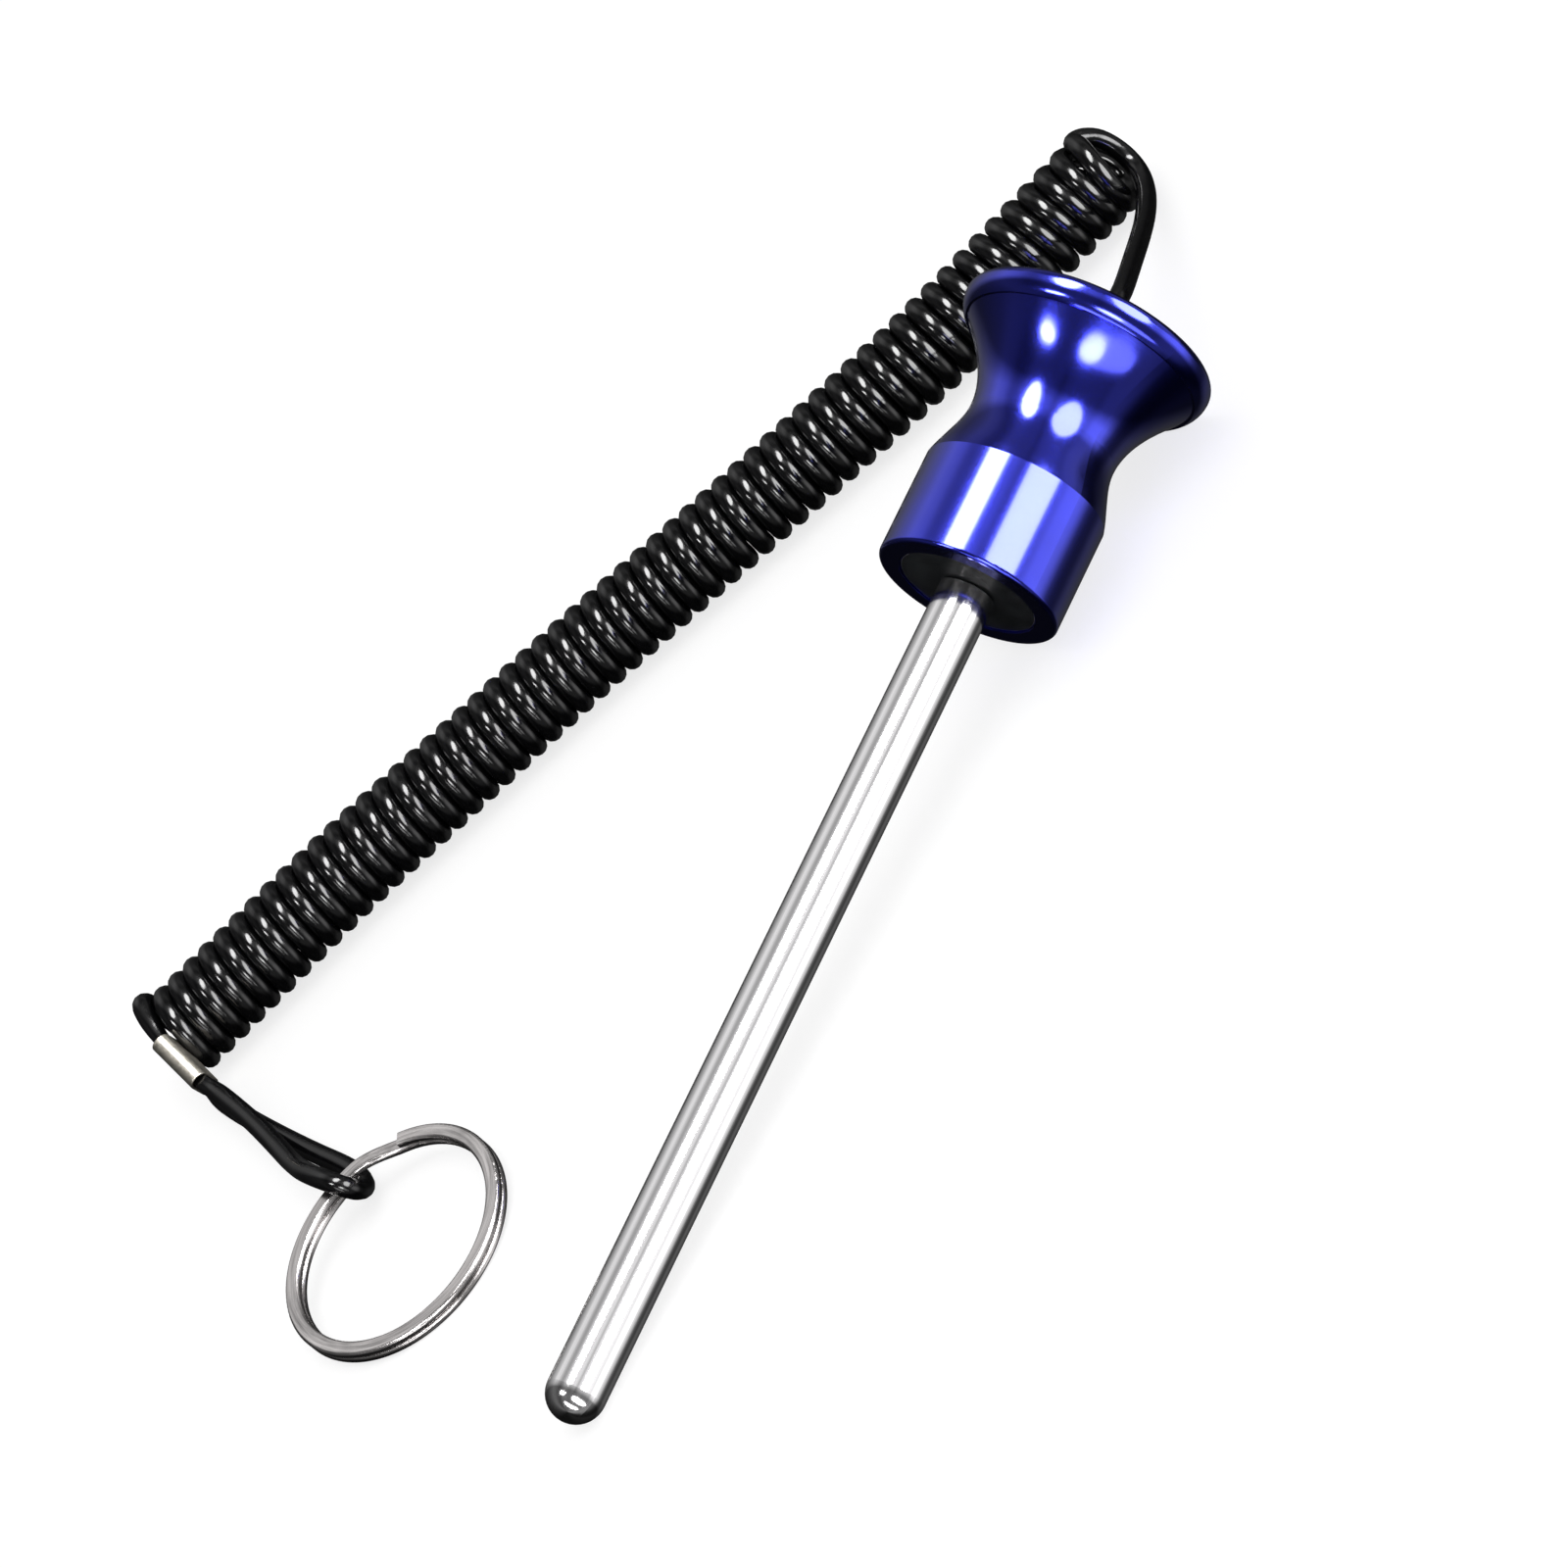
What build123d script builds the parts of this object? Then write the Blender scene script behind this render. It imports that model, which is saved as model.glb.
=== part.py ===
from build123d import *
import math
import os

os.makedirs("parts", exist_ok=True)

# Rod: measured from the knob's base face to the round tip
rod_diameter = 8.0
rod_reach = 124.0
rod_shoulder = 0.3
rod_end_gap = 3.0
rod_end_chamfer = 0.5

# Knob: lengths count from the base face along the axis, slopes are in degrees
knob_length = 41.0
base_diameter = 26.2
base_length = 15.65
base_edge_radius = 0.65
waist_diameter = 21.4
waist_place = 24.5
waist_entry_slope = 14.0
flare_end_slope = 40.4
rim_diameter = 36.3
lip_slope = 50.0
lip_step = 0.35
lip_bow_radius = 3.3
lip_edge_radius = 1.4
end_wall = 6.0

# Magnet, bonded in a pocket of the knob's base
magnet_diameter = 20.0
magnet_thickness = 5.0
magnet_recess = 0.3
magnet_edge = 0.25
bond_gap = 0.05

# Cord, and the sleeve crimped on its end inside the knob
cord_diameter = 3.0
cord_hole_gap = 0.25
cord_hole_mouth = 1.2
stop_length = 6.0
stop_gap = 0.2
lead_out = 6.5

# Curly part of the cord
coil_diameter = 13.8

# Sleeve that closes the cord's loop: an oval tube round the squeezed cord
ferrule_width = 6.7
ferrule_thickness = 3.1
ferrule_wall = 0.35
ferrule_length = 9.2
ferrule_edge = 0.12
upper_strand = 1.1
lower_strand = -2.0

# Split ring: two flat turns of rounded flat wire joined by a step, angles in degrees
ring_diameter = 36.3
ring_wire_width = 2.3
ring_wire_thickness = 1.16
ring_turn_gap = 0.08
ring_wire_rounding = 0.45
ring_step_angle = 27.0
ring_step_place = -21.0
ring_clearance = 0.4

# Where the ring's wire passes through the cord's loop, and the heading from there to its middle
loop_x = 55.9
loop_y = -70.6
loop_heading = 67.5

# Share of a cord's shorter run that a bend takes at its end
bend_share = 0.45

rod_radius = rod_diameter / 2
cord_radius = cord_diameter / 2
coil_radius = coil_diameter / 2
pocket_depth = magnet_recess + magnet_thickness
bore_end = knob_length - end_wall
neck_radius = rod_radius - rod_shoulder
neck_end = bore_end - stop_length - rod_end_gap
lip_place = knob_length - lip_edge_radius
lip_bow_centre = rim_diameter / 2 - lip_bow_radius
lip_edge_centre = rim_diameter / 2 - lip_edge_radius

# Rest of the pin: its lip and its round tip both touch the floor
tip_centre = rod_reach - rod_radius
span = tip_centre + lip_place
reach = math.hypot(span, lip_bow_centre)
rest_slope = math.atan2(lip_bow_centre, span) + math.asin((lip_bow_radius - rod_radius) / reach)
slope_cos = math.cos(rest_slope)
slope_sin = math.sin(rest_slope)
head_end = -(lip_place * slope_cos + lip_edge_centre * slope_sin + lip_edge_radius)
tip_end = tip_centre * slope_cos + rod_radius
base_x = -(head_end + tip_end) / 2
base_z = rod_radius + tip_centre * slope_sin
pin_place = Location((base_x, 0, base_z), (0, math.degrees(rest_slope), 0))

# Rest of the ring: the cord's lower strand runs on the floor under its wire at the loop,
# and its far side touches the floor
ring_radius = ring_diameter / 2
ring_mean_radius = ring_radius - ring_wire_width / 2
ring_stack = 2 * ring_wire_thickness + ring_turn_gap
corner_across = ring_wire_width / 2 - ring_wire_rounding
corner_up = ring_stack / 2 - ring_wire_rounding
wire_reach = ring_wire_rounding + math.hypot(corner_across, corner_up)
loop_z = cord_diameter + ring_clearance + wire_reach
far_across = ring_mean_radius + ring_radius - ring_wire_rounding
lean_height = (loop_z - ring_wire_rounding) / math.hypot(far_across, corner_up)
ring_lean = math.asin(lean_height) - math.atan2(corner_up, far_across)


def on_pin(place):
    """A point on the pin's axis, counted from the base face towards the knob's top."""
    return Vector(base_x - place * slope_cos, 0, base_z + place * slope_sin)


# From the sleeve in the knob, out of its top and round to the coil's end
lead_route = [
    on_pin(bore_end - stop_length),
    on_pin(knob_length + lead_out),
    Vector(-100.6, -8.4, 13.4),
    Vector(-111.4, -18.4, 7.5),
    Vector(-119.4, -26.1, 3.6),
    Vector(-124.4, -31.4, 2.0),
    Vector(-127.6, -34.6, 2.8),
    Vector(-129.0, -36.6, 5.6),
    Vector(-128.1, -37.4, 8.9),
    Vector(-125.8, -38.0, 11.2),
    Vector(-122.8, -37.8, 11.9),
    Vector(-119.9, -36.9, 11.3),
]

# The middle line of the curly part, which lies on the floor
coil_route = [
    Vector(37.0, -127.9, coil_radius),
    Vector(7.8, -112.3, coil_radius),
    Vector(-29.5, -90.0, coil_radius),
    Vector(-77.0, -57.4, coil_radius),
    Vector(-121.0, -35.2, coil_radius),
]

# The closing sleeve: its upper end, its direction and the way its strands lie side by side
ferrule_top = Vector(41.1, -124.2, 9.7)
ferrule_aim = Vector(2.9, 7.3, -4.8).normalized()
ferrule_plane = Plane(origin=ferrule_top, x_dir=(0.234, 0.467, 0.853), z_dir=ferrule_aim)
ferrule_across = ferrule_plane.x_dir
ferrule_end = ferrule_top + ferrule_aim * ferrule_length

# From the coil's other end into the sleeve
tail_route = [
    Vector(34.6, -130.9, 10.8),
    Vector(36.9, -130.3, 12.3),
    ferrule_top + ferrule_across * upper_strand - ferrule_aim * 2.2,
    ferrule_top + ferrule_across * upper_strand,
]

# Out of the sleeve, over the ring's wire, back under it along the floor, and into the sleeve
loop_route = [
    ferrule_end + ferrule_across * upper_strand,
    ferrule_end + ferrule_across * upper_strand + ferrule_aim * 3.0,
    Vector(46.6, -108.5, 4.8),
    Vector(49.2, -99.4, 4.75),
    Vector(52.7, -89.8, 4.85),
    Vector(55.7, -80.0, 6.0),
    Vector(56.8, -73.8, 8.4),
    Vector(57.5, -69.7, 8.4),
    Vector(57.4, -67.3, 6.4),
    Vector(56.4, -66.9, 3.4),
    Vector(54.8, -69.0, 1.55),
    Vector(52.8, -73.2, 1.55),
    Vector(51.6, -78.6, 1.55),
    Vector(50.2, -86.5, 1.55),
    Vector(48.1, -98.0, 1.55),
    Vector(45.9, -109.0, 1.55),
    ferrule_end + ferrule_across * lower_strand + ferrule_aim * 3.6,
    ferrule_end + ferrule_across * lower_strand,
]


def turned(outline):
    """A solid turned about the X axis from a closed outline in the XY plane."""
    return revolve(make_face(outline), axis=Axis.X)


def bar(start, end, radius):
    """A straight round bar on the X axis."""
    return turned(Polyline((start, 0), (end, 0), (end, radius), (start, radius), close=True))


def tube_along(corners, diameter, name):
    """A round tube on straight runs joined by tangent arcs, as large as the runs allow."""
    runs = [after - before for before, after in zip(corners, corners[1:])]
    radii = []
    for before, after in zip(runs, runs[1:]):
        shorter = min(before.length, after.length)
        half_turn = math.radians(before.get_angle(after)) / 2
        radii.append(bend_share * shorter / math.tan(half_turn))
    path = FilletPolyline(*corners, radius=radii)
    start = Plane(origin=path @ 0, z_dir=path % 0)
    tube = sweep(start * Circle(diameter / 2), path=path)
    expected = math.pi * (diameter / 2) ** 2 * path.length
    print(name, "bend radii", [round(radius, 1) for radius in radii])
    print(name, "length", round(path.length, 1), "volume share", round(tube.volume / expected, 4))
    return tube


def make_knob():
    """The turned knob, its base face at zero and its head at minus X."""
    base_radius = base_diameter / 2
    waist_radius = waist_diameter / 2
    waist_run = (waist_place - base_length) / 3
    waist_drop = waist_run * math.tan(math.radians(waist_entry_slope))
    slope = math.radians(lip_slope)
    lip_start = lip_place - lip_bow_radius * math.sin(slope)
    lip_start_radius = lip_bow_centre + lip_bow_radius * math.cos(slope)
    flare_end_radius = lip_start_radius - lip_step
    flare_run = (lip_start - waist_place) / 3
    flare_rise = flare_run * math.tan(math.radians(flare_end_slope))
    hole_radius = cord_radius + cord_hole_gap
    mouth_radius = hole_radius + cord_hole_mouth
    mouth_place = knob_length - cord_hole_mouth
    outline = [
        Line((0, 0), (0, base_radius - base_edge_radius)),
        ThreePointArc(
            (0, base_radius - base_edge_radius),
            (
                -base_edge_radius * (1 - math.sin(math.pi / 4)),
                base_radius - base_edge_radius * (1 - math.cos(math.pi / 4)),
            ),
            (-base_edge_radius, base_radius),
        ),
        Line((-base_edge_radius, base_radius), (-base_length, base_radius)),
        Bezier(
            (-base_length, base_radius),
            (-base_length - waist_run, base_radius - waist_drop),
            (-waist_place + waist_run, waist_radius),
            (-waist_place, waist_radius),
        ),
        Bezier(
            (-waist_place, waist_radius),
            (-waist_place - flare_run, waist_radius),
            (-lip_start + flare_run, flare_end_radius - flare_rise),
            (-lip_start, flare_end_radius),
        ),
        Line((-lip_start, flare_end_radius), (-lip_start, lip_start_radius)),
        ThreePointArc(
            (-lip_start, lip_start_radius),
            (
                -lip_place + lip_bow_radius * math.sin(slope / 2),
                lip_bow_centre + lip_bow_radius * math.cos(slope / 2),
            ),
            (-lip_place, lip_bow_centre + lip_bow_radius),
        ),
        ThreePointArc(
            (-lip_place, lip_edge_centre + lip_edge_radius),
            (
                -lip_place - lip_edge_radius * math.sin(math.pi / 4),
                lip_edge_centre + lip_edge_radius * math.cos(math.pi / 4),
            ),
            (-knob_length, lip_edge_centre),
        ),
        Line((-knob_length, lip_edge_centre), (-knob_length, mouth_radius)),
        ThreePointArc(
            (-knob_length, mouth_radius),
            (
                -mouth_place - cord_hole_mouth * math.sin(math.pi / 4),
                mouth_radius - cord_hole_mouth * math.cos(math.pi / 4),
            ),
            (-mouth_place, hole_radius),
        ),
        Line((-mouth_place, hole_radius), (-mouth_place, 0)),
        Line((-mouth_place, 0), (0, 0)),
    ]
    knob = turned(outline)
    knob -= bar(0, -pocket_depth, magnet_diameter / 2 + bond_gap)
    knob -= bar(0, -bore_end, neck_radius)
    knob -= bar(0, -knob_length, hole_radius)
    return pin_place * knob


def make_pin_rod():
    """The rod, round at its tip, with a neck behind its shoulder that is pressed into the knob."""
    shoulder_place = -magnet_recess
    edge_place = shoulder_place + rod_shoulder
    outline = [
        Line((-neck_end, 0), (-neck_end, neck_radius - rod_end_chamfer)),
        Line((-neck_end, neck_radius - rod_end_chamfer), (rod_end_chamfer - neck_end, neck_radius)),
        Line((rod_end_chamfer - neck_end, neck_radius), (shoulder_place, neck_radius)),
        Line((shoulder_place, neck_radius), (edge_place, rod_radius)),
        Line((edge_place, rod_radius), (tip_centre, rod_radius)),
        ThreePointArc(
            (tip_centre, rod_radius),
            (
                tip_centre + rod_radius * math.sin(math.pi / 4),
                rod_radius * math.cos(math.pi / 4),
            ),
            (rod_reach, 0),
        ),
        Line((rod_reach, 0), (-neck_end, 0)),
    ]
    return pin_place * turned(outline)


def make_ring_magnet():
    """The magnet in the base pocket, a little below the base face."""
    outer = magnet_diameter / 2
    inner = neck_radius + bond_gap
    outline = Polyline(
        (-magnet_recess, inner),
        (-magnet_recess, outer - magnet_edge),
        (-magnet_recess - magnet_edge, outer),
        (-pocket_depth, outer),
        (-pocket_depth, inner),
        close=True,
    )
    return pin_place * turned(outline)


def make_cord_stop():
    """The crimped sleeve that keeps the cord's end inside the knob."""
    sleeve = bar(stop_length - bore_end, -bore_end, neck_radius - stop_gap)
    sleeve -= bar(stop_length - bore_end, -bore_end, cord_radius)
    return pin_place * sleeve


def ferrule_section(width, thickness):
    """A prism with the sleeve's oval section, as long as the sleeve."""
    return extrude(ferrule_plane * SlotOverall(width, thickness), ferrule_length)


def ferrule_filling():
    """Both strands of the cord, squeezed together inside the sleeve."""
    return ferrule_section(ferrule_width - 2 * ferrule_wall, ferrule_thickness - 2 * ferrule_wall)


def make_crimp_ferrule():
    """The oval sleeve, open at both ends, its edges broken."""
    sleeve = ferrule_section(ferrule_width, ferrule_thickness) - ferrule_filling()
    ends = sleeve.faces().filter_by(Axis(ferrule_top, ferrule_aim))
    return fillet(ends.edges(), ferrule_edge)


def make_split_ring():
    """Two flat turns joined by a step, the loop's place at plus X, leaning on the cord."""
    level = (ring_wire_thickness + ring_turn_gap) / 2
    turn_angle = 360 - ring_step_angle
    wire = Plane.XZ * Pos(ring_mean_radius, 0) * RectangleRounded(
        ring_wire_width, ring_wire_thickness, ring_wire_rounding
    )
    lower = revolve(Pos(0, 0, -level) * wire, axis=Axis.Z, revolution_arc=turn_angle)
    upper = revolve(Pos(0, 0, level) * wire, axis=Axis.Z, revolution_arc=turn_angle)
    step_stations = 7
    stations = []
    for index in range(step_stations):
        share = index / (step_stations - 1)
        height = level * (2 * share * share * (3 - 2 * share) - 1)
        angle = turn_angle + ring_step_angle * share
        stations.append(Rot(0, 0, angle) * Pos(0, 0, height) * wire)
    ring = lower + loft([station.face() for station in stations]) + upper
    ring = Rot(0, 0, ring_step_place + ring_step_angle / 2) * ring
    heading = math.radians(loop_heading)
    to_loop = Vector(
        -math.cos(heading) * math.cos(ring_lean),
        -math.sin(heading) * math.cos(ring_lean),
        math.sin(ring_lean),
    )
    facing = Vector(
        math.cos(heading) * math.sin(ring_lean),
        math.sin(heading) * math.sin(ring_lean),
        math.cos(ring_lean),
    )
    middle = Vector(loop_x, loop_y, loop_z) - to_loop * ring_mean_radius
    return Plane(origin=middle, x_dir=to_loop, z_dir=facing).location * ring


pieces = {
    "knob": make_knob(),
    "pin_rod": make_pin_rod(),
    "ring_magnet": make_ring_magnet(),
    "cord_stop": make_cord_stop(),
    "cord_lead": tube_along(lead_route, cord_diameter, "cord_lead"),
    "cord_coil": tube_along(coil_route, coil_diameter, "cord_coil"),
    "cord_tail": tube_along(tail_route, cord_diameter, "cord_tail") + ferrule_filling(),
    "cord_loop": tube_along(loop_route, cord_diameter, "cord_loop"),
    "crimp_ferrule": make_crimp_ferrule(),
    "split_ring": make_split_ring(),
}

print("rest slope", round(math.degrees(rest_slope), 3), "base face at", round(base_x, 3), round(base_z, 3))
print("loop height", round(loop_z, 3), "ring lean", round(math.degrees(ring_lean), 3))
for name, piece in pieces.items():
    export_step(piece, f"parts/{name}.step")
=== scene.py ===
import math

import bpy
from bpy.props import FloatProperty, FloatVectorProperty, IntProperty, PointerProperty
from mathutils import Matrix, Vector


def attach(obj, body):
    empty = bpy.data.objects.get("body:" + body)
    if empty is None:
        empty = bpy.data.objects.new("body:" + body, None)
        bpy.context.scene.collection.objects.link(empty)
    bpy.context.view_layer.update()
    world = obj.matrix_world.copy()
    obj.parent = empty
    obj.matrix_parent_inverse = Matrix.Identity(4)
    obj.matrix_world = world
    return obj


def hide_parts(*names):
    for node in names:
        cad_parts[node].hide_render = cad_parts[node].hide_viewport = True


bl_info = {
    "name": "Weight Stack Pin",
    "version": (1, 0, 0),
    "blender": (4, 5, 0),
    "location": "View3D > Sidebar > Stack Pin",
    "description": "Dresses a weight stack pin with its curly cord and split ring",
    "category": "Object",
}

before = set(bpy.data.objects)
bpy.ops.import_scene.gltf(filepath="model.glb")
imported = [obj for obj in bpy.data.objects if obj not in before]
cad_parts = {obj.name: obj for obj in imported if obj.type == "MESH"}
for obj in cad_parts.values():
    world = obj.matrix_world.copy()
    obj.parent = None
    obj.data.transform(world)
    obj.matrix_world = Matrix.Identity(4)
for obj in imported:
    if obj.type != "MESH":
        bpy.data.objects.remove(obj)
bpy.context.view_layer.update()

# The pin's line: the way the rod points, the way across it that looks up, and the base face
PIN_AIM = Vector((0.9961, 0.0, -0.0883))
PIN_UP = Vector((0.0883, 0.0, 0.9961))
PIN_ACROSS = Vector((0.0, 1.0, 0.0))
BASE_FACE = Vector((-0.0406, 0.0, 0.0146))

# How far from the pin's line the magnet's coat starts to be worn, and where it is worn through
BARE_EDGE = (0.00972, 0.00978)
BARE_NICKEL = (0.62, 0.60, 0.58)

# The split ring: its middle, and the way its flat side faces
RING_MIDDLE = Vector((0.0624, -0.0550, 0.0031))
RING_FACING = Vector((0.0406, 0.0980, 0.9944))

# How far the marks along the ring's wire wander, and their share of its relief
MARKS_DRIFT = 0.07
MARKS_RELIEF = 0.1

# From the sleeve in the knob, out of its top and round to the coil's end
LEAD_ROUTE = (
    (-0.0695, 0.0, 0.0172),
    (-0.0755, 0.0, 0.0177),
    (-0.0835, 0.0, 0.0184),
    (-0.0894, -0.0006, 0.0170),
    (-0.0995, -0.0083, 0.0130),
    (-0.1106, -0.0169, 0.0085),
    (-0.1180, -0.0238, 0.0055),
    (-0.1226, -0.0284, 0.0043),
    (-0.1255, -0.0318, 0.0049),
    (-0.1265, -0.0337, 0.0071),
    (-0.1264, -0.0355, 0.0100),
    (-0.1253, -0.0368, 0.0116),
    (-0.1240, -0.0374, 0.0123),
    (-0.1231, -0.0368, 0.0126),
)

# The middle line of the curly part, from the knob's end to the sleeve's end
COIL_MIDDLE = (
    (-0.1224, -0.0346, 0.0069),
    (-0.1118, -0.0395, 0.0069),
    (-0.0901, -0.0499, 0.0069),
    (-0.0707, -0.0625, 0.0069),
    (-0.0516, -0.0752, 0.0069),
    (-0.0322, -0.0883, 0.0069),
    (-0.0125, -0.0998, 0.0069),
    (0.0071, -0.1119, 0.0069),
    (0.0282, -0.1221, 0.0069),
    (0.0380, -0.1271, 0.0069),
)

# From the coil's other end into the closing sleeve
TAIL_ROUTE = (
    (0.0357, -0.1315, 0.0121),
    (0.0368, -0.1309, 0.0131),
    (0.0382, -0.1291, 0.0122),
    (0.0392, -0.1274, 0.0114),
    (0.0406, -0.1252, 0.0104),
)

# Through the sleeve, round the split ring's wire and back into the sleeve
LOOP_ROUTE = (
    (0.0444, -0.1161, 0.0059),
    (0.0448, -0.1134, 0.0046),
    (0.0463, -0.1080, 0.0047),
    (0.0490, -0.0992, 0.0048),
    (0.0522, -0.0904, 0.0048),
    (0.0551, -0.0824, 0.0058),
    (0.0570, -0.0744, 0.0080),
    (0.0578, -0.0689, 0.0086),
    (0.0575, -0.0667, 0.0070),
    (0.0562, -0.0676, 0.0042),
    (0.0545, -0.0698, 0.0022),
    (0.0525, -0.0742, 0.00155),
    (0.0515, -0.0790, 0.00155),
    (0.0505, -0.0862, 0.00155),
    (0.0485, -0.0978, 0.00155),
    (0.0464, -0.1085, 0.00155),
    (0.0447, -0.1157, 0.0016),
    (0.0436, -0.1179, 0.0032),
    (0.0421, -0.1214, 0.0056),
)

# Points of the whole cord, counted from its end, that lie inside the closing sleeve, and the
# share of its thickness that it is pressed to there
IN_CLOSING_SLEEVE = (-20, -19, -2, -1)
PRESSED = 0.76

# Angles round the coil's middle line: where its first turn starts, its low side and near side
FIRST_ANGLE = math.radians(102.0)
LOW_SIDE = math.radians(-57.0)
NEAR_SIDE = math.radians(33.0)

# Numbers of turns from the knob's end over which the slopes grow, and over which they fade
SLOPES_GROW = 4.0
GAPE_GROWS = 0.25
GAPE_FADES = 6.0
FAN_FADES = 24.0

# The share of the fan that the first turn starts with
FAN_START = 0.35

# How far the gape moves the turns' far side towards the knob and their near side away from it
GAPE_FAR = 2.2
GAPE_NEAR = 0.5

# The camera's place, the way it looks and the way that is up in its picture
CAMERA_PLACE = (0.24286, 0.54071, 0.39596)
CAMERA_VIEW = (-0.3496, -0.7721, -0.5307)
CAMERA_UP = (-0.8058, -0.0412, 0.5907)

# Each lamp: angle round the pin, share along it, width round it, height along it, brightness,
# distance. All but the panel show in reflections alone, and the panel gives the soft shadow.
LAMPS = (
    ("overhead_box", 75.5, -0.37, 0.42, 0.94, 16.0, 0.9),
    ("side_box", 16.0, -0.43, 0.66, 0.98, 9.0, 0.9),
    ("far_disc", 88.0, 0.58, 0.30, 0.16, 20.0, 0.6),
    ("near_box", 30.0, 0.66, 0.40, 0.26, 11.0, 0.6),
    ("low_box", 10.0, 0.66, 0.95, 0.30, 2.2, 0.6),
    ("front_strip", 30.0, 0.93, 0.80, 0.16, 4.0, 0.6),
    ("panel", 80.0, -0.10, 0.80, 0.80, 1.3, 1.3),
)

# Brightness of the room round the pin, by the angle round it in degrees
ROOM_RAMP = (
    (-180, 0.16),
    (-150, 0.04),
    (-125, 0.04),
    (-91, 0.11),
    (-77, 0.05),
    (-66, 0.07),
    (-57, 0.2),
    (-48, 0.9),
    (-37, 1.7),
    (-20, 1.6),
    (-12, 1.0),
    (-6, 1.1),
    (30, 1.0),
    (38, 0.8),
    (44, 0.45),
    (50, 0.8),
    (90, 0.85),
    (96, 0.5),
    (103, 0.36),
    (112, 0.42),
    (122, 0.75),
    (136, 0.85),
    (150, 0.5),
    (165, 0.3),
    (180, 0.16),
)

# The ramp holds the room's brightness at this scale, so that none of it passes one
RAMP_SCALE = 0.5

# How the room's brightness runs along the pin, behind the knob and ahead of it: the two shares
# along it between which it changes, and its strengths there
BEHIND_KNOB = (-0.62, -0.42, 0.3, 1.0)
AHEAD = (-0.15, 0.12, 2.0, 0.3)

# Strengths of the even fill light and of the floor's own glow, which only the camera sees
FILL_STRENGTH = 0.62
FLOOR_GLOW = 0.77


class CordSizes(bpy.types.PropertyGroup):
    diameter: FloatProperty(
        name="Cord diameter",
        description="Across the coated cord",
        default=0.003,
        min=0.001,
        unit="LENGTH",
    )
    turn_radius: FloatProperty(
        name="Turn radius",
        description="From the coil's middle line to the middle of the cord",
        default=0.0053,
        min=0.002,
        unit="LENGTH",
    )
    turn_fullness: FloatProperty(
        name="Turn fullness",
        description="Thickness of the cord in its turns, as a share of that in its plain parts",
        default=1.07,
        min=1.0,
        max=1.2,
    )
    turns: FloatProperty(
        name="Turns",
        description="Number of turns in the curly part",
        default=57.85,
        min=1.0,
    )
    points_per_turn: IntProperty(
        name="Points per turn",
        description="Control points of the cord's line in each turn, at least",
        default=14,
        min=12,
        max=24,
    )
    swell: FloatProperty(
        name="Swell",
        description="Share by which the turns are wider at both ends, and narrower between",
        default=0.04,
        min=0.0,
        max=0.2,
    )
    lean: FloatProperty(
        name="Lean",
        description="Slope of the turns near the knob, which fades towards the sleeve",
        default=0.105,
        min=0.0,
        max=0.4,
    )
    fan: FloatProperty(
        name="Fan",
        description="Slope that spreads the turns' low sides towards the knob",
        default=0.15,
        min=0.0,
        max=0.4,
    )
    gape: FloatProperty(
        name="Gape",
        description="Slope that opens the first turns at the knob",
        default=0.35,
        min=0.0,
        max=0.6,
    )
    real_length: FloatProperty(
        name="Cord length",
        description="Length of the whole cord, measured along it",
        default=2.16,
        min=0.1,
        unit="LENGTH",
    )


class FinishColours(bpy.types.PropertyGroup):
    knob: FloatVectorProperty(
        name="Knob",
        description="Colour of the anodised knob",
        default=(0.016, 0.026, 0.58),
        subtype="COLOR",
        min=0.0,
        max=1.0,
    )
    rod: FloatVectorProperty(
        name="Rod",
        description="Colour of the plated rod",
        default=(0.86, 0.85, 0.86),
        subtype="COLOR",
        min=0.0,
        max=1.0,
    )
    magnet: FloatVectorProperty(
        name="Magnet",
        description="Colour of the ring magnet",
        default=(0.010, 0.011, 0.012),
        subtype="COLOR",
        min=0.0,
        max=1.0,
    )
    cord: FloatVectorProperty(
        name="Cord",
        description="Colour of the cord's coat",
        default=(0.003, 0.003, 0.0035),
        subtype="COLOR",
        min=0.0,
        max=1.0,
    )
    ferrule: FloatVectorProperty(
        name="Closing sleeve",
        description="Colour of the sleeve that closes the cord's loop",
        default=(0.52, 0.49, 0.43),
        subtype="COLOR",
        min=0.0,
        max=1.0,
    )
    ring: FloatVectorProperty(
        name="Split ring",
        description="Colour of the split ring's wire",
        default=(0.58, 0.555, 0.55),
        subtype="COLOR",
        min=0.0,
        max=1.0,
    )


class StageSettings(bpy.types.PropertyGroup):
    floor_width: FloatProperty(
        name="Floor width",
        description="Side of the square floor",
        default=8.0,
        min=1.0,
        unit="LENGTH",
    )
    floor_colour: FloatVectorProperty(
        name="Floor",
        description="Colour of the floor",
        default=(0.33, 0.33, 0.33),
        subtype="COLOR",
        min=0.0,
        max=1.0,
    )
    camera_lens: FloatProperty(
        name="Lens",
        description="Focal length of the camera",
        default=123.75,
        min=20.0,
        unit="CAMERA",
    )


def add_node(tree, kind, inputs=None, **settings):
    """A node with its settings made, its sockets given as values or as outputs to link."""
    made = tree.nodes.new(kind)
    for name, value in settings.items():
        setattr(made, name, value)
    for socket, value in (inputs or {}).items():
        if isinstance(value, bpy.types.NodeSocket):
            tree.links.new(value, made.inputs[socket])
        else:
            made.inputs[socket].default_value = value
    return made


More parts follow.
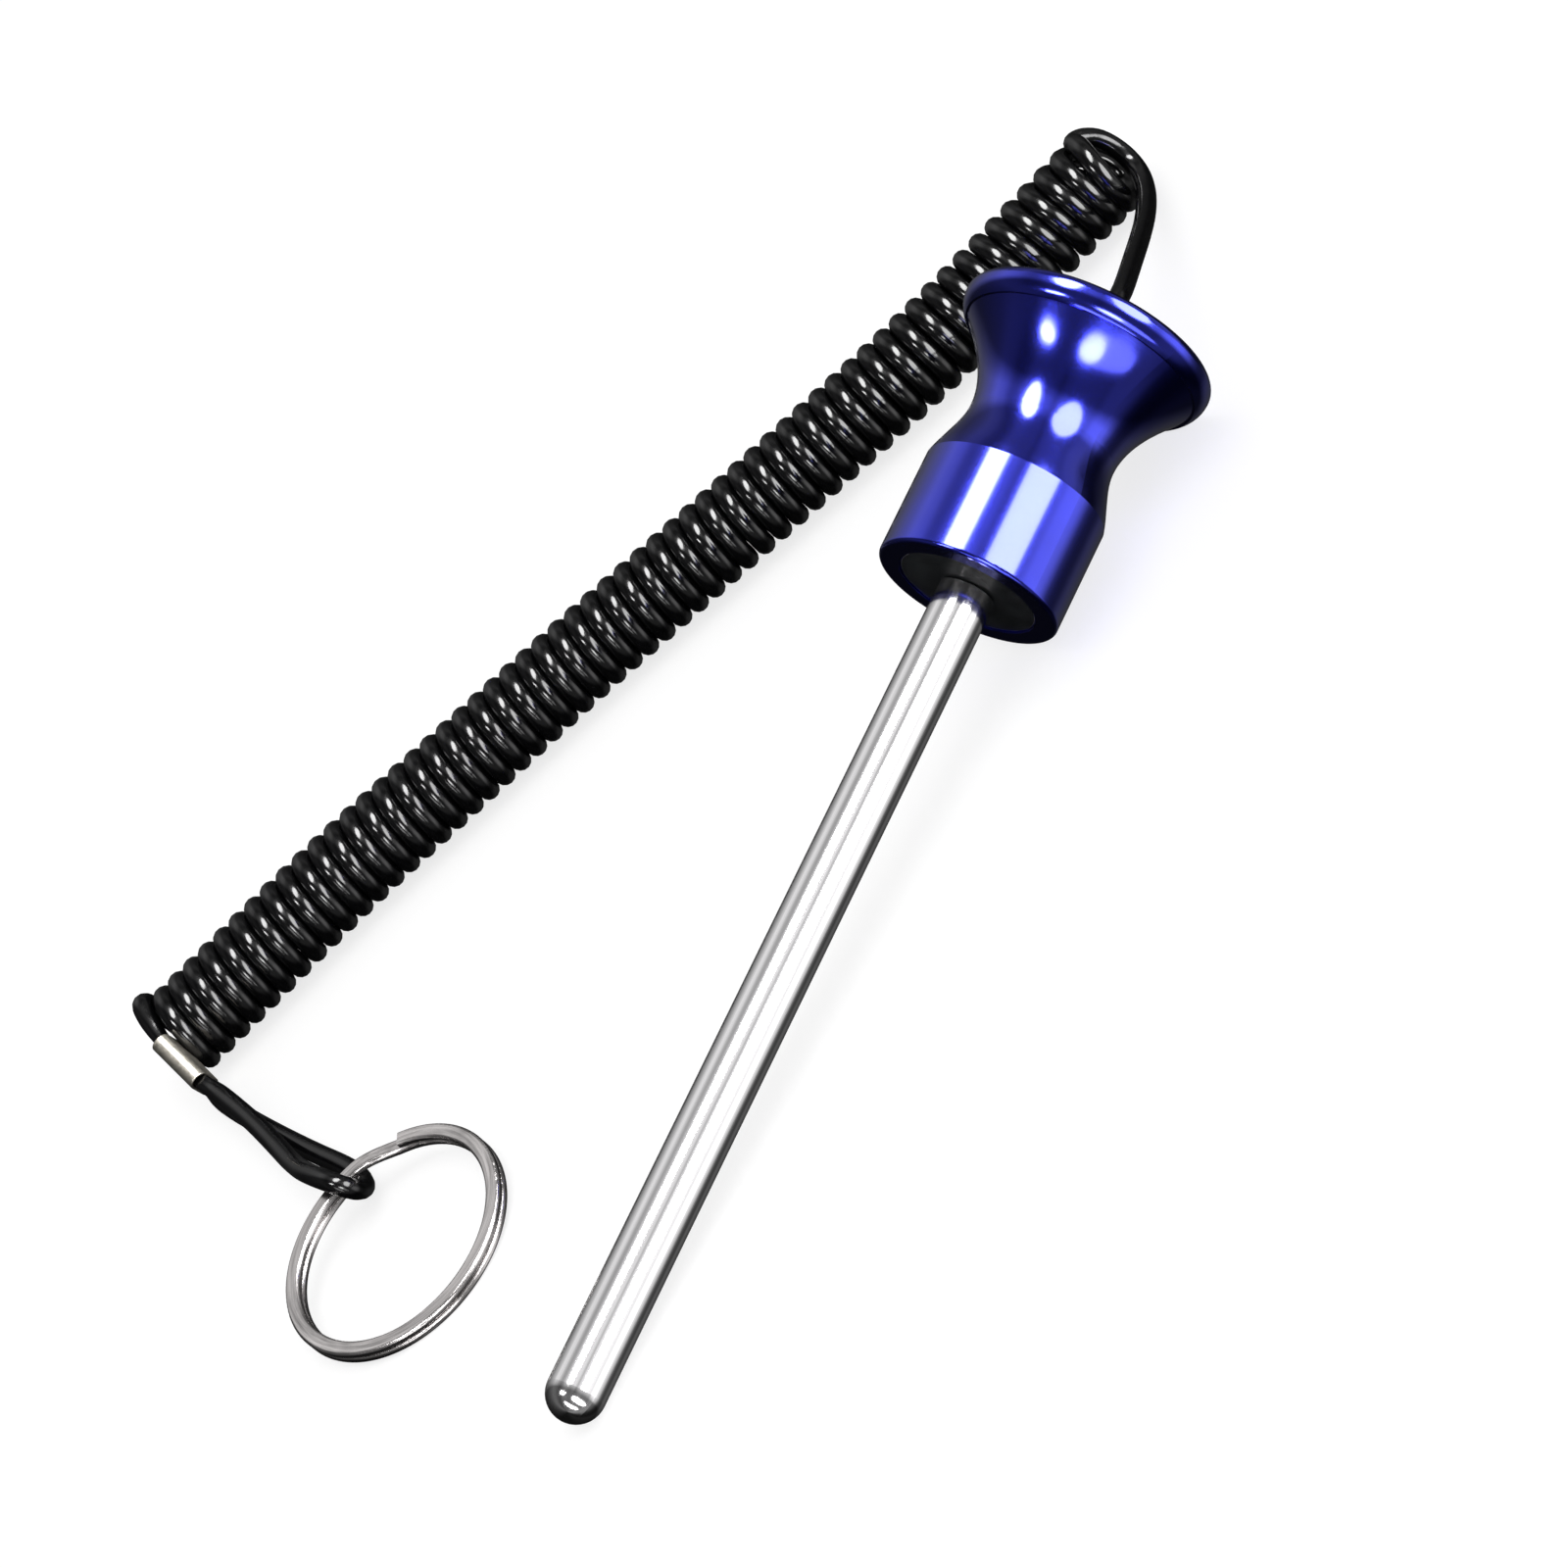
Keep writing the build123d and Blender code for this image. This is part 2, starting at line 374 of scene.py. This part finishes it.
def new_finish(name, colour, metallic, roughness):
    """A material with its shader, its tree and its object coordinates."""
    material = bpy.data.materials.new(name)
    material.use_nodes = True
    tree = material.node_tree
    shader = tree.nodes["Principled BSDF"]
    shader.inputs["Base Color"].default_value = (*colour, 1.0)
    shader.inputs["Metallic"].default_value = metallic
    shader.inputs["Roughness"].default_value = roughness
    place = add_node(tree, "ShaderNodeTexCoord").outputs["Object"]
    return material, tree, shader, place


def noise(tree, place, scale, detail=2.0, roughness=0.5):
    """Noise between about 0.3 and 0.7, its scale in spots per metre."""
    inputs = {"Vector": place, "Scale": scale, "Detail": detail, "Roughness": roughness}
    return add_node(tree, "ShaderNodeTexNoise", inputs).outputs["Fac"]


def ranged(tree, value, from_low, from_high, low=0.0, high=1.0):
    """A value carried over from one range to another, and held between that one's ends."""
    ends = {"From Min": from_low, "From Max": from_high, "To Min": low, "To Max": high}
    return add_node(tree, "ShaderNodeMapRange", {"Value": value, **ends}).outputs["Result"]


def spread(tree, value, low=0.0, high=1.0):
    """Noise stretched to run from low to high."""
    return ranged(tree, value, 0.3, 0.7, low, high)


def number_sum(tree, operation, *values):
    """What a sum over numbers comes to."""
    made = add_node(tree, "ShaderNodeMath", dict(enumerate(values)), operation=operation)
    return made.outputs["Value"]


def vector_sum(tree, operation, *values, output="Vector"):
    """What a sum over vectors comes to."""
    made = add_node(tree, "ShaderNodeVectorMath", dict(enumerate(values)), operation=operation)
    return made.outputs[output]


def tint(tree, value, dark, light):
    """A colour between two, by a value from 0 to 1."""
    inputs = {"Factor": value, 6: dark, 7: light}
    return add_node(tree, "ShaderNodeMix", inputs, data_type="RGBA").outputs[2]


def raise_grain(tree, shader, height, depth):
    """Relief of a real depth in metres."""
    inputs = {"Height": height, "Distance": depth, "Strength": 1.0}
    bump = add_node(tree, "ShaderNodeBump", inputs)
    tree.links.new(bump.outputs["Normal"], shader.inputs["Normal"])


def stretched(tree, place, along, across):
    """Coordinates turned to the pin's line, and scaled along and across it."""
    slope = math.atan2(-PIN_AIM.z, PIN_AIM.x)
    turned = add_node(
        tree,
        "ShaderNodeVectorRotate",
        {"Vector": place, "Angle": -slope},
        rotation_type="Y_AXIS",
    ).outputs["Vector"]
    return vector_sum(tree, "MULTIPLY", turned, (along, across, across))


def from_place(tree, place, origin):
    """Coordinates counted from a point."""
    return vector_sum(tree, "SUBTRACT", place, origin)


def along_line(tree, place, direction):
    """How far a place lies along a direction."""
    return vector_sum(tree, "DOT_PRODUCT", place, direction, output="Value")


def from_line(tree, place, direction):
    """How far a place lies from the line through the origin in a direction."""
    crossed = vector_sum(tree, "CROSS_PRODUCT", place, direction)
    return vector_sum(tree, "LENGTH", crossed, output="Value")


def shaded(colour, share=1.0):
    """A colour made darker or lighter by a share, ready for a socket."""
    return (*(min(1.0, part * share) for part in colour), 1.0)


def give_finish(node, material):
    """Puts a finish on a carried over piece."""
    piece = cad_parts[node]
    piece.data.materials.clear()
    piece.data.materials.append(material)


def finishes():
    return bpy.context.scene.stack_pin_finishes


def knob_finish():
    """Gloss blue anodising over fine turning marks."""
    colour = finishes().knob
    material, tree, shader, place = new_finish("blue_anodised", colour, 1.0, 0.2)
    turning = noise(tree, stretched(tree, place, 5000.0, 40.0), 1.0, 3.0)
    grain = noise(tree, place, 3500.0, 2.0)
    clouds = spread(tree, noise(tree, place, 90.0, 3.0))
    body = tint(tree, clouds, shaded(colour, 0.88), shaded(colour, 1.1))
    tree.links.new(body, shader.inputs["Base Color"])
    tree.links.new(spread(tree, grain, 0.11, 0.18), shader.inputs["Roughness"])
    raise_grain(tree, shader, turning, 0.000002)
    shader.inputs["Coat Weight"].default_value = 1.0
    shader.inputs["Coat Roughness"].default_value = 0.13
    return material


def rod_finish():
    """Polished plating with faint marks that run along the rod."""
    colour = finishes().rod
    material, tree, shader, place = new_finish("plated_rod", colour, 1.0, 0.1)
    streaks = noise(tree, stretched(tree, place, 25.0, 2600.0), 1.0, 3.0, 0.6)
    body = tint(tree, spread(tree, streaks), shaded(colour, 0.93), shaded(colour, 1.03))
    tree.links.new(body, shader.inputs["Base Color"])
    tree.links.new(spread(tree, streaks, 0.09, 0.13), shader.inputs["Roughness"])
    raise_grain(tree, shader, streaks, 0.000001)
    return material


def magnet_finish():
    """Gloss black coat with a little orange peel, worn to bright nickel at its outer edge."""
    colour = finishes().magnet
    material, tree, shader, place = new_finish("magnet_black", colour, 0.0, 0.16)
    peel = noise(tree, place, 1400.0, 2.0)
    dust = spread(tree, noise(tree, place, 240.0, 4.0))
    body = tint(tree, dust, shaded(colour), shaded(colour, 2.2))
    out = from_line(tree, from_place(tree, place, BASE_FACE), PIN_AIM)
    edge = ranged(tree, out, *BARE_EDGE)
    worn = tint(tree, edge, body, shaded(BARE_NICKEL))
    tree.links.new(worn, shader.inputs["Base Color"])
    tree.links.new(edge, shader.inputs["Metallic"])
    tree.links.new(spread(tree, peel, 0.12, 0.24), shader.inputs["Roughness"])
    raise_grain(tree, shader, peel, 0.00001)
    return material


def cord_finish():
    """Gloss black coat over a fine strand, with a soft orange peel."""
    colour = finishes().cord
    material, tree, shader, place = new_finish("cord_black", colour, 0.0, 0.14)
    peel = noise(tree, place, 900.0, 3.0)
    clouds = spread(tree, noise(tree, place, 300.0, 2.0))
    body = tint(tree, clouds, shaded(colour, 0.8), shaded(colour, 1.5))
    tree.links.new(body, shader.inputs["Base Color"])
    tree.links.new(spread(tree, peel, 0.10, 0.19), shader.inputs["Roughness"])
    raise_grain(tree, shader, peel, 0.000014)
    return material


def ferrule_finish():
    """Warm nickel, a little dented, with fine handling marks."""
    colour = finishes().ferrule
    material, tree, shader, place = new_finish("ferrule_nickel", colour, 1.0, 0.28)
    marks = noise(tree, place, 1500.0, 3.0)
    dents = noise(tree, place, 260.0, 1.0)
    body = tint(tree, spread(tree, marks), shaded(colour, 0.86), shaded(colour, 1.06))
    tree.links.new(body, shader.inputs["Base Color"])
    tree.links.new(spread(tree, marks, 0.32, 0.42), shader.inputs["Roughness"])
    raise_grain(tree, shader, dents, 0.000012)
    return material


def ring_finish():
    """Bright nickel on rolled wire, with marks along it and a slow wave in its faces."""
    colour = finishes().ring
    material, tree, shader, place = new_finish("ring_nickel", colour, 1.0, 0.14)
    middle = from_place(tree, place, RING_MIDDLE)
    ends = {"X": from_line(tree, middle, RING_FACING), "Y": along_line(tree, middle, RING_FACING)}
    lengthwise = add_node(tree, "ShaderNodeCombineXYZ", ends).outputs["Vector"]
    drift = vector_sum(tree, "MULTIPLY", middle, (MARKS_DRIFT, MARKS_DRIFT, MARKS_DRIFT))
    streaks = noise(tree, vector_sum(tree, "ADD", lengthwise, drift), 1900.0, 3.0, 0.6)
    waves = noise(tree, place, 130.0, 1.0)
    body = tint(tree, spread(tree, streaks), shaded(colour, 0.45), shaded(colour, 1.3))
    tree.links.new(body, shader.inputs["Base Color"])
    tree.links.new(spread(tree, streaks, 0.18, 0.32), shader.inputs["Roughness"])
    relief = number_sum(tree, "MULTIPLY_ADD", streaks, MARKS_RELIEF, waves)
    raise_grain(tree, shader, relief, 0.0005)
    return material


def stop_finish():
    """Dull aluminium with crimping marks, for the cord's stop inside the knob."""
    colour = (0.55, 0.55, 0.56)
    material, tree, shader, place = new_finish("stop_aluminium", colour, 1.0, 0.35)
    marks = noise(tree, place, 900.0, 3.0)
    body = tint(tree, spread(tree, marks), shaded(colour, 0.8), shaded(colour))
    tree.links.new(body, shader.inputs["Base Color"])
    raise_grain(tree, shader, marks, 0.00003)
    return material


def spline_curve(name, points, radii=None):
    """A curve of one open spline with these control points."""
    data = bpy.data.curves.new(name, "CURVE")
    data.dimensions = "3D"
    line = data.splines.new("NURBS")
    line.points.add(len(points) - 1)
    for index, point in enumerate(points):
        line.points[index].co = (*point, 1.0)
        line.points[index].radius = radii[index] if radii else 1.0
    line.order_u = 3
    line.use_endpoint_u = True
    made = bpy.data.objects.new(name, data)
    bpy.context.collection.objects.link(made)
    return made


def points_along(route, resolution):
    """Points read from the route's own spline."""
    guide = spline_curve("guide", route)
    guide.data.resolution_u = resolution
    bpy.context.view_layer.update()
    read = bpy.data.meshes.new_from_object(guide)
    points = [vertex.co.copy() for vertex in read.vertices]
    bpy.data.objects.remove(guide)
    bpy.data.meshes.remove(read)
    return points


def fading(turn, run):
    """A share that is one at the coil's start, and nothing from this number of turns on."""
    return max(0.0, 1.0 - turn / run)


def growing(turn, run, start=0.0):
    """A share that grows by one over this number of turns, and then holds at one."""
    return min(1.0, start + turn / run)


def coil_turns(sizes):
    """Control points of the curly part, from the knob's end to the sleeve's end."""
    wanted = sizes.turns * sizes.points_per_turn
    middle = points_along(COIL_MIDDLE, math.ceil(wanted / (len(COIL_MIDDLE) - 1)))
    last = len(middle) - 1
    step = 2.0 * math.pi * sizes.turns / last
    up = Vector((0.0, 0.0, 1.0))
    turns = []
    for index, centre in enumerate(middle):
        share = index / last
        back = (middle[max(index - 1, 0)] - middle[min(index + 1, last)]).normalized()
        across = Vector((back.y, -back.x, 0.0)).normalized()
        angle = FIRST_ANGLE - step * index
        radius = sizes.turn_radius * (1.0 + sizes.swell * math.cos(2.0 * math.pi * share))
        turn = share * sizes.turns
        lean = sizes.lean * (1.0 - share) * growing(turn, SLOPES_GROW)
        fan = sizes.fan * fading(turn, FAN_FADES) * growing(turn, SLOPES_GROW, FAN_START)
        gape = sizes.gape * fading(turn, GAPE_FADES) * growing(turn, GAPE_GROWS)
        lift = (radius - sizes.turn_radius) * up
        out = (math.cos(angle) * across + math.sin(angle) * up) / math.cos(step / 2.0)
        low = math.cos(angle - LOW_SIDE)
        near = math.cos(angle - NEAR_SIDE)
        opening = gape * (GAPE_FAR * max(0.0, -near) - GAPE_NEAR * max(0.0, near))
        slide = (lean * low + fan * (1.0 + low) + opening) * back
        turns.append(centre + lift + radius * (out + slide))
    return turns


class STACKPIN_OT_finish_knob(bpy.types.Operator):
    """Finish the knob in blue anodising"""

    bl_idname = "stackpin.finish_knob"
    bl_label = "Finish the knob"

    def execute(self, context):
        give_finish("knob", knob_finish())
        return {"FINISHED"}


class STACKPIN_OT_finish_rod(bpy.types.Operator):
    """Finish the rod in polished plating"""

    bl_idname = "stackpin.finish_rod"
    bl_label = "Finish the rod"

    def execute(self, context):
        give_finish("pin_rod", rod_finish())
        return {"FINISHED"}


class STACKPIN_OT_finish_magnet(bpy.types.Operator):
    """Finish the ring magnet in gloss black"""

    bl_idname = "stackpin.finish_magnet"
    bl_label = "Finish the magnet"

    def execute(self, context):
        give_finish("ring_magnet", magnet_finish())
        return {"FINISHED"}


class STACKPIN_OT_lay_cord(bpy.types.Operator):
    """Lay the cord from the knob through its curly part and round the split ring"""

    bl_idname = "stackpin.lay_cord"
    bl_label = "Lay the cord"

    def execute(self, context):
        sizes = context.scene.stack_pin_cord
        lead = [Vector(point) for point in LEAD_ROUTE]
        tail = [Vector(point) for point in TAIL_ROUTE]
        loop = [Vector(point) for point in LOOP_ROUTE]
        turns = coil_turns(sizes)
        points = lead + turns + tail + loop
        radii = [1.0] * len(points)
        for index in range(len(lead), len(lead) + len(turns)):
            radii[index] = sizes.turn_fullness
        for index in IN_CLOSING_SLEEVE:
            radii[index] = PRESSED
        cord = spline_curve("curly_cord", points, radii)
        cord.data.bevel_depth = sizes.diameter / 2
        cord.data.bevel_resolution = 5
        cord.data.resolution_u = 4
        cord.data.use_fill_caps = True
        cord.data.materials.append(cord_finish())
        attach(cord, "pin")
        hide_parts("cord_lead", "cord_coil", "cord_tail", "cord_loop")
        return {"FINISHED"}


class STACKPIN_OT_finish_cord_stop(bpy.types.Operator):
    """Finish the sleeve that holds the cord's end inside the knob"""

    bl_idname = "stackpin.finish_cord_stop"
    bl_label = "Finish the cord's stop"

    def execute(self, context):
        give_finish("cord_stop", stop_finish())
        return {"FINISHED"}


class STACKPIN_OT_finish_ferrule(bpy.types.Operator):
    """Finish the closing sleeve in warm nickel"""

    bl_idname = "stackpin.finish_ferrule"
    bl_label = "Finish the closing sleeve"

    def execute(self, context):
        give_finish("crimp_ferrule", ferrule_finish())
        return {"FINISHED"}


class STACKPIN_OT_finish_split_ring(bpy.types.Operator):
    """Finish the split ring in bright nickel"""

    bl_idname = "stackpin.finish_split_ring"
    bl_label = "Finish the split ring"

    def execute(self, context):
        give_finish("split_ring", ring_finish())
        return {"FINISHED"}


def toward(turn, lean):
    """A direction by its angle round the pin, in degrees, and its share along the rod."""
    angle = math.radians(turn)
    across = math.cos(angle) * PIN_ACROSS + math.sin(angle) * PIN_UP
    return lean * PIN_AIM + math.sqrt(1.0 - lean * lean) * across


def hang_lamp(name, turn, lean, width, height, brightness, distance):
    """A soft lamp that faces the pin, its sizes given for a distance of one metre."""
    data = bpy.data.lights.new(name, "AREA")
    data.shape = "ELLIPSE"
    data.size = width * distance
    data.size_y = height * distance
    data.energy = brightness * math.pi * data.size * data.size_y
    lamp = bpy.data.objects.new(name, data)
    bpy.context.collection.objects.link(lamp)
    away = toward(turn, lean)
    side = PIN_AIM.cross(away).normalized()
    tall = away.cross(side)
    turned = Matrix((side, tall, away)).transposed().to_4x4()
    lamp.matrix_world = Matrix.Translation(BASE_FACE + away * distance) @ turned
    lamp.visible_camera = False
    lamp.visible_diffuse = name == "panel"
    lamp.visible_glossy = name != "panel"


def light_room():
    """A white backdrop, an even fill light, and a studio with darker walls in reflections."""
    world = bpy.data.worlds.new("studio")
    world.use_nodes = True
    bpy.context.scene.world = world
    tree = world.node_tree
    tree.nodes.clear()
    ray = add_node(tree, "ShaderNodeLightPath")
    facing = add_node(tree, "ShaderNodeTexCoord").outputs["Generated"]
    across, up, along = (
        along_line(tree, facing, direction) for direction in (PIN_ACROSS, PIN_UP, PIN_AIM)
    )
    angle = number_sum(tree, "ARCTAN2", up, across)
    ramp = add_node(tree, "ShaderNodeValToRGB", {"Fac": ranged(tree, angle, -math.pi, math.pi)})
    stops = ramp.color_ramp.elements
    while len(stops) < len(ROOM_RAMP):
        stops.new(0.5)
    for stop, (turn, level) in zip(stops, ROOM_RAMP):
        stop.position = turn / 360.0 + 0.5
        stop.color = shaded((level, level, level), RAMP_SCALE)
    strength = number_sum(
        tree, "MULTIPLY", ranged(tree, along, *AHEAD), ranged(tree, along, *BEHIND_KNOB)
    )
    wall_light = {"Color": ramp.outputs["Color"], "Strength": strength}
    walls = add_node(tree, "ShaderNodeBackground", wall_light)
    white = (1.0, 1.0, 1.0, 1.0)
    fill = add_node(tree, "ShaderNodeBackground", {"Color": white, "Strength": FILL_STRENGTH})
    backdrop = add_node(tree, "ShaderNodeBackground", {"Color": white, "Strength": 1.0})
    glossy = add_node(
        tree,
        "ShaderNodeMixShader",
        {0: ray.outputs["Is Glossy Ray"], 1: fill.outputs[0], 2: walls.outputs[0]},
    )
    seen = number_sum(
        tree, "MAXIMUM", ray.outputs["Is Camera Ray"], ray.outputs["Is Transmission Ray"]
    )
    mixed = add_node(
        tree, "ShaderNodeMixShader", {0: seen, 1: glossy.outputs[0], 2: backdrop.outputs[0]}
    )
    add_node(tree, "ShaderNodeOutputWorld", {"Surface": mixed.outputs[0]})


def lay_floor(settings):
    """A plain pale floor that keeps the object's shadow."""
    half = settings.floor_width / 2
    data = bpy.data.meshes.new("floor")
    corners = [(-half, -half, 0), (half, -half, 0), (half, half, 0), (-half, half, 0)]
    data.from_pydata(corners, [], [(0, 1, 2, 3)])
    floor = bpy.data.objects.new("floor", data)
    bpy.context.collection.objects.link(floor)
    material = bpy.data.materials.new("floor_white")
    material.use_nodes = True
    tree = material.node_tree
    tree.nodes.clear()
    ray = add_node(tree, "ShaderNodeLightPath")
    paper = add_node(tree, "ShaderNodeBsdfDiffuse")
    paper.inputs["Color"].default_value = (*settings.floor_colour, 1.0)
    lift = number_sum(tree, "MULTIPLY", ray.outputs["Is Camera Ray"], FLOOR_GLOW)
    glow = add_node(tree, "ShaderNodeEmission", {"Strength": lift})
    both = add_node(tree, "ShaderNodeAddShader", {0: paper.outputs[0], 1: glow.outputs[0]})
    add_node(tree, "ShaderNodeOutputMaterial", {"Surface": both.outputs[0]})
    data.materials.append(material)
    floor.visible_glossy = False


def stand_camera(lens):
    """The camera where the photograph was taken from."""
    data = bpy.data.cameras.new("camera")
    data.lens = lens
    data.sensor_width = 36.0
    data.clip_start = 0.01
    data.clip_end = 20.0
    camera = bpy.data.objects.new("camera", data)
    bpy.context.collection.objects.link(camera)
    view = Vector(CAMERA_VIEW).normalized()
    right = view.cross(Vector(CAMERA_UP)).normalized()
    up = right.cross(view)
    turned = Matrix((right, up, -view)).transposed().to_4x4()
    camera.matrix_world = Matrix.Translation(CAMERA_PLACE) @ turned
    bpy.context.scene.camera = camera


class STACKPIN_OT_set_stage(bpy.types.Operator):
    """Set up the floor, the lamps, the room and the camera"""

    bl_idname = "stackpin.set_stage"
    bl_label = "Set the stage"

    def execute(self, context):
        settings = context.scene.stack_pin_stage
        lay_floor(settings)
        light_room()
        for lamp in LAMPS:
            hang_lamp(*lamp)
        stand_camera(settings.camera_lens)
        context.scene.view_settings.view_transform = "Standard"
        return {"FINISHED"}


STEPS = (
    STACKPIN_OT_finish_knob,
    STACKPIN_OT_finish_rod,
    STACKPIN_OT_finish_magnet,
    STACKPIN_OT_lay_cord,
    STACKPIN_OT_finish_cord_stop,
    STACKPIN_OT_finish_ferrule,
    STACKPIN_OT_finish_split_ring,
    STACKPIN_OT_set_stage,
)


class STACKPIN_PT_sidebar(bpy.types.Panel):
    """Lists the steps that dress the weight stack pin"""

    bl_idname = "STACKPIN_PT_sidebar"
    bl_label = "Weight Stack Pin"
    bl_space_type = "VIEW_3D"
    bl_region_type = "UI"
    bl_category = "Stack Pin"

    def draw(self, context):
        for group in ("stack_pin_cord", "stack_pin_finishes", "stack_pin_stage"):
            settings = getattr(context.scene, group)
            for name in settings.bl_rna.properties.keys():
                if name not in ("rna_type", "name"):
                    self.layout.prop(settings, name)
        for step in STEPS:
            self.layout.operator(step.bl_idname)


CLASSES = (CordSizes, FinishColours, StageSettings, *STEPS, STACKPIN_PT_sidebar)


def register():
    for made in CLASSES:
        bpy.utils.register_class(made)
    scene = bpy.types.Scene
    scene.stack_pin_cord = PointerProperty(type=CordSizes)
    scene.stack_pin_finishes = PointerProperty(type=FinishColours)
    scene.stack_pin_stage = PointerProperty(type=StageSettings)


def unregister():
    for group in ("stack_pin_cord", "stack_pin_finishes", "stack_pin_stage"):
        delattr(bpy.types.Scene, group)
    for made in reversed(CLASSES):
        bpy.utils.unregister_class(made)


def main():
    register()
    for step in STEPS:
        group, name = step.bl_idname.split(".")
        getattr(getattr(bpy.ops, group), name)()


if __name__ == "__main__":
    main()
